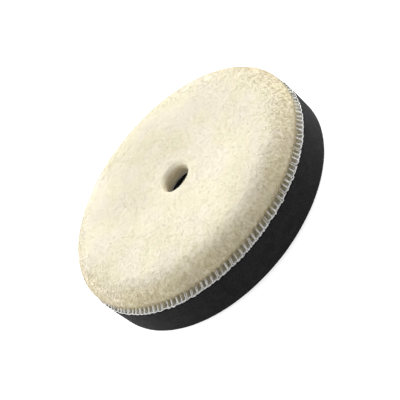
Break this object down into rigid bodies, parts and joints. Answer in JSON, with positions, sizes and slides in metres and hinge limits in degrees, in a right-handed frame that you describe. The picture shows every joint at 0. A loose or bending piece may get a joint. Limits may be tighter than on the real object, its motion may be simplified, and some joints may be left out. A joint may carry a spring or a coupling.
{
  "type": "polishing pad",
  "caption": "Round foam-backed wool polishing pad with a centre hole: a cut-pile wool face with an overlocked edge, a foam interface and a loop backing.",
  "frame": {"origin": "centre of the loop face that the pad lies on, on the axis of the centre hole", "axes": "+Z along the pad's axis, out of the wool face; X and Y lie in the loop face"},
  "size_m": [0.1496, 0.1496, 0.0338],
  "materials": {
    "wool": "cream cut-pile lambswool",
    "knit_backing": "off-white knit",
    "seam_thread": "white spun polyester thread",
    "adhesive_film": "hot-melt web",
    "foam": "open-cell charcoal-black foam",
    "loop_fabric": "black brushed loop"
  },
  "bodies": {
    "root": {"wool_pile": "wool", "knit_backing": "knit_backing", "overlock_needle_thread": "seam_thread", "overlock_upper_looper_thread": "seam_thread", "overlock_lower_looper_thread": "seam_thread", "face_adhesive_film": "adhesive_film", "interface_foam": "foam", "rear_adhesive_film": "adhesive_film", "loop_ground_fabric": "loop_fabric", "loop_pile": "loop_fabric"}
  },
  "joints": []
}
